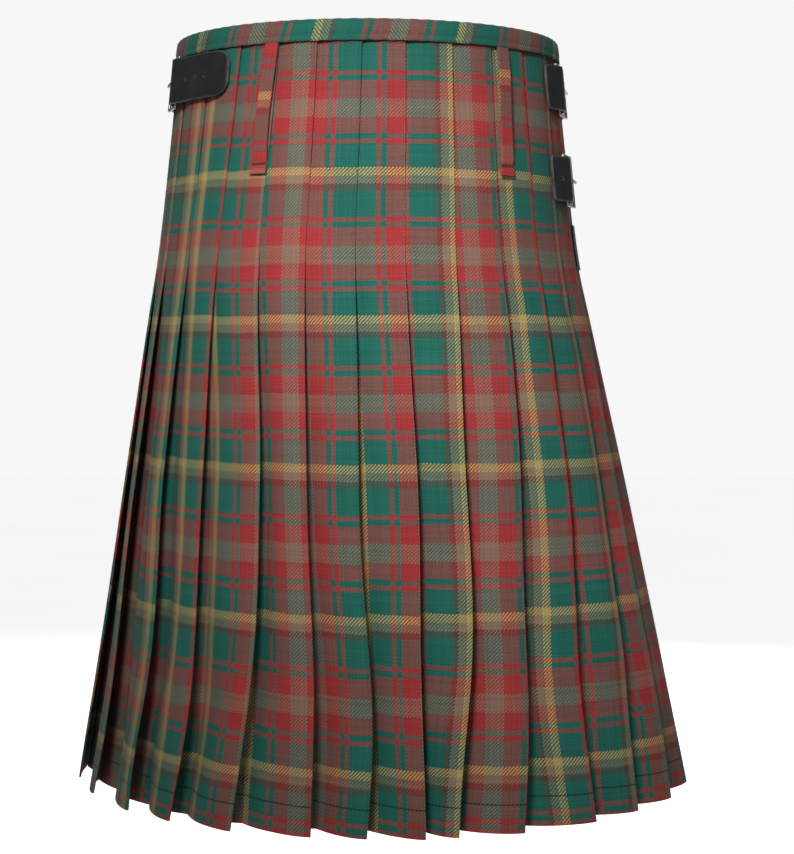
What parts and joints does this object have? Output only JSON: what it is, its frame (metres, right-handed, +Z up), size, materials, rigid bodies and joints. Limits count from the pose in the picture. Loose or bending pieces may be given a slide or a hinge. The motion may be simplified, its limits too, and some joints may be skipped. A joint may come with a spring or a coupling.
{
  "type": "scottish kilt",
  "caption": "Knee-length tartan kilt, filled out and open at waist and hem, with knife pleats round the back, crossed front aprons, belt loops and buckled black leather straps at the hips.",
  "frame": {"origin": "centre of the waist opening, level with the top edge of the waistband", "axes": "+Z up along the garment, -Y towards the wearer's back where the pleats are, +X towards the wearer's right hip"},
  "size_m": [0.5119, 0.4064, 0.61],
  "materials": {
    "tartan_cloth": "worsted 2/2 twill woven in a green, red, tan and gold check, matt with a slight sheen",
    "black_leather": "smooth black, semi-matt",
    "buckle_metal": "polished nickel-like plating",
    "label": "plain black woven patch"
  },
  "bodies": {
    "root": {"over_apron": "tartan_cloth", "pleat_01": "tartan_cloth", "pleat_02": "tartan_cloth", "pleat_03": "tartan_cloth", "pleat_04": "tartan_cloth", "pleat_05": "tartan_cloth", "pleat_06": "tartan_cloth", "pleat_07": "tartan_cloth", "pleat_08": "tartan_cloth", "pleat_09": "tartan_cloth", "pleat_10": "tartan_cloth", "pleat_11": "tartan_cloth", "pleat_12": "tartan_cloth", "pleat_13": "tartan_cloth", "under_apron": "tartan_cloth", "waistband_back": "tartan_cloth", "waistband_over": "tartan_cloth", "waistband_under": "tartan_cloth", "belt_loop_left": "tartan_cloth", "belt_loop_right": "tartan_cloth", "label_patch": "label", "strap_left": "black_leather", "chape_left": "black_leather", "buckle_left": "buckle_metal", "prong_left": "buckle_metal", "strap_right_upper": "black_leather", "chape_right_upper": "black_leather", "buckle_right_upper": "buckle_metal", "prong_right_upper": "buckle_metal", "strap_right_lower": "black_leather", "chape_right_lower": "black_leather", "buckle_right_lower": "buckle_metal", "prong_right_lower": "buckle_metal"}
  },
  "joints": []
}
